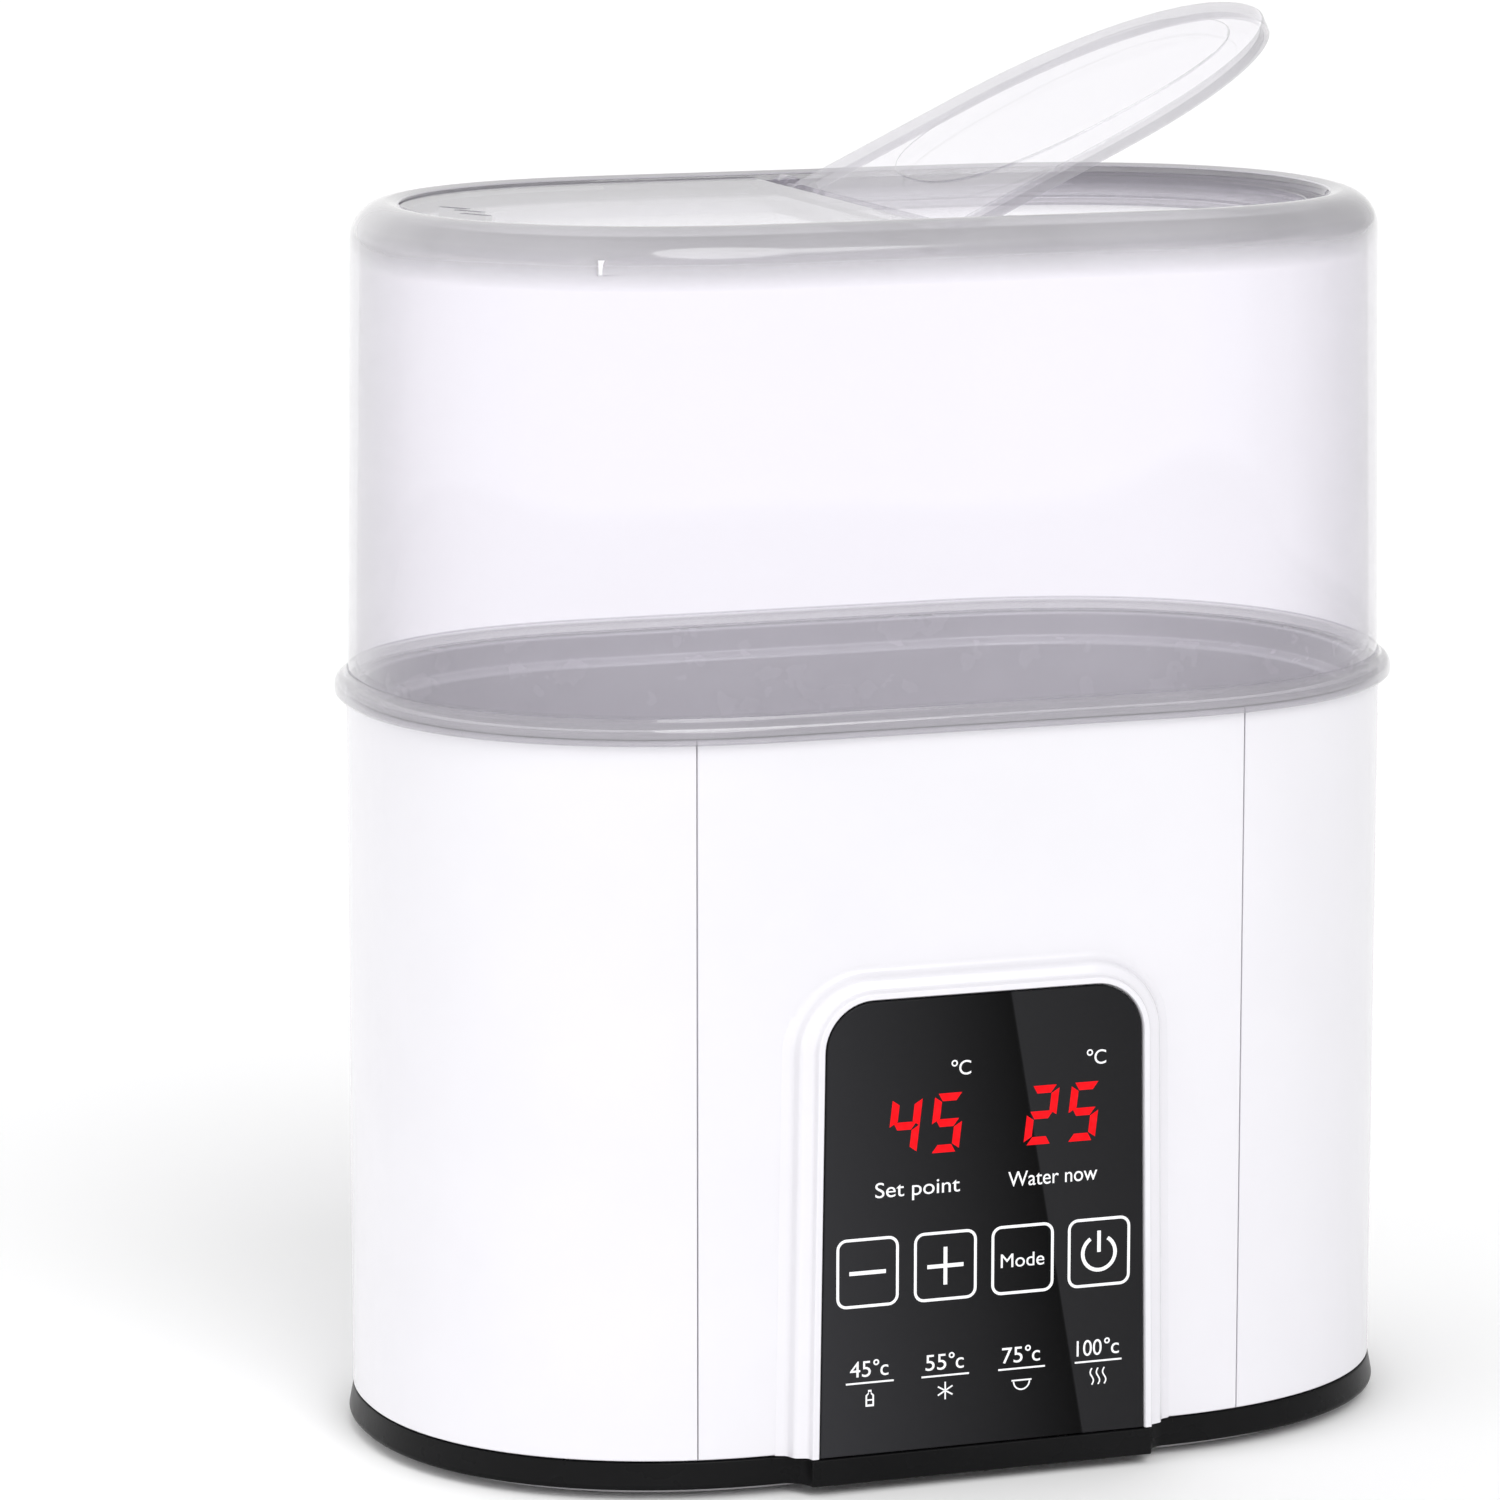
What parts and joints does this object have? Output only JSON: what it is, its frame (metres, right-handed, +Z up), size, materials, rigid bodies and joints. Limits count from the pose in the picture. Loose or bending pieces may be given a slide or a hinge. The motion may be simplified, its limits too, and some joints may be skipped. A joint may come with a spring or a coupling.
{
  "type": "bottle warmer",
  "caption": "Oval double baby-bottle warmer and steam steriliser: white casing with a black touch panel, grey water tank, and a clear lift-off hood with a hinged flap.",
  "frame": {"origin": "on the surface the appliance stands on, under the middle of its bounding box", "axes": "+Z up, -Y towards the user in front of the control panel, +X to the user's right, along the oval's length"},
  "size_m": [0.2464, 0.1522, 0.3222],
  "materials": {
    "clear_plastic": "clear, glossy",
    "white_plastic": "glossy",
    "black_plastic": "satin, fine texture",
    "grey_plinth": "satin",
    "tank_grey": "satin gloss",
    "black_lens": "high gloss, printed behind",
    "rubber": "matt",
    "silicone": "matt, translucent",
    "steel": "brushed",
    "aluminium": "satin",
    "circuit_board": "solder mask",
    "display_module": "dark window",
    "rack_plastic": "satin",
    "winding_tape": "satin tape",
    "relay_blue": "satin",
    "red_sleeve": "silicone sleeve",
    "black_sleeve": "sleeve",
    "ribbon": "ribbed"
  },
  "bodies": {
    "base_unit": {"left_end_casing": "white_plastic", "right_end_casing": "white_plastic", "front_cover": "white_plastic", "rear_cover": "white_plastic", "base_tray": "black_plastic", "cord_gland": "black_plastic", "terminal_block": "black_plastic", "bottom_cover": "grey_plinth", "water_tank": "tank_grey", "panel_lens": "black_lens", "rubber_foot_1": "rubber", "rubber_foot_2": "rubber", "rubber_foot_3": "rubber", "rubber_foot_4": "rubber", "plate_seal": "silicone", "heating_plate": "steel", "clamp_ring": "steel", "heating_element": "steel", "sensor_bracket": "steel", "touch_spring_minus": "steel", "touch_spring_plus": "steel", "touch_spring_function": "steel", "touch_spring_power": "steel", "base_screw_1": "steel", "base_screw_2": "steel", "base_screw_3": "steel", "base_screw_4": "steel", "display_screw_1": "steel", "display_screw_2": "steel", "display_screw_3": "steel", "display_screw_4": "steel", "clamp_screw_1": "steel", "clamp_screw_2": "steel", "clamp_screw_3": "steel", "clamp_screw_4": "steel", "board_screw_1": "steel", "board_screw_2": "steel", "board_screw_3": "steel", "board_screw_4": "steel", "thermostat": "aluminium", "temperature_sensor": "aluminium", "thermal_fuse": "aluminium", "heat_shield": "aluminium", "display_board": "circuit_board", "power_board": "circuit_board", "target_display": "display_module", "current_display": "display_module", "transformer": "winding_tape", "relay": "relay_blue", "heater_lead_live": "red_sleeve", "heater_lead_neutral": "black_sleeve", "sensor_lead": "black_sleeve", "filter_capacitor": "black_sleeve", "ribbon_cable": "ribbon"},
    "hood": {"hood_shell": "clear_plastic"},
    "flap": {"hood_flap": "clear_plastic"},
    "rack": {"bottle_rack": "rack_plastic", "rack_handle": "rack_plastic"}
  },
  "joints": [
    {"name": "hood_lift", "type": "slide", "parent": "base_unit", "child": "hood", "axis": [0, 0, 1], "range_m": [0, 0.13]},
    {"name": "flap_hinge", "type": "hinge", "parent": "hood", "child": "flap", "pos_m": [0, 0, 0.2776], "axis": [0, -1, 0], "range_deg": [-25.5, 85]},
    {"name": "rack_lift", "type": "slide", "parent": "base_unit", "child": "rack", "axis": [0, 0, 1], "range_m": [0, 0.11]}
  ]
}
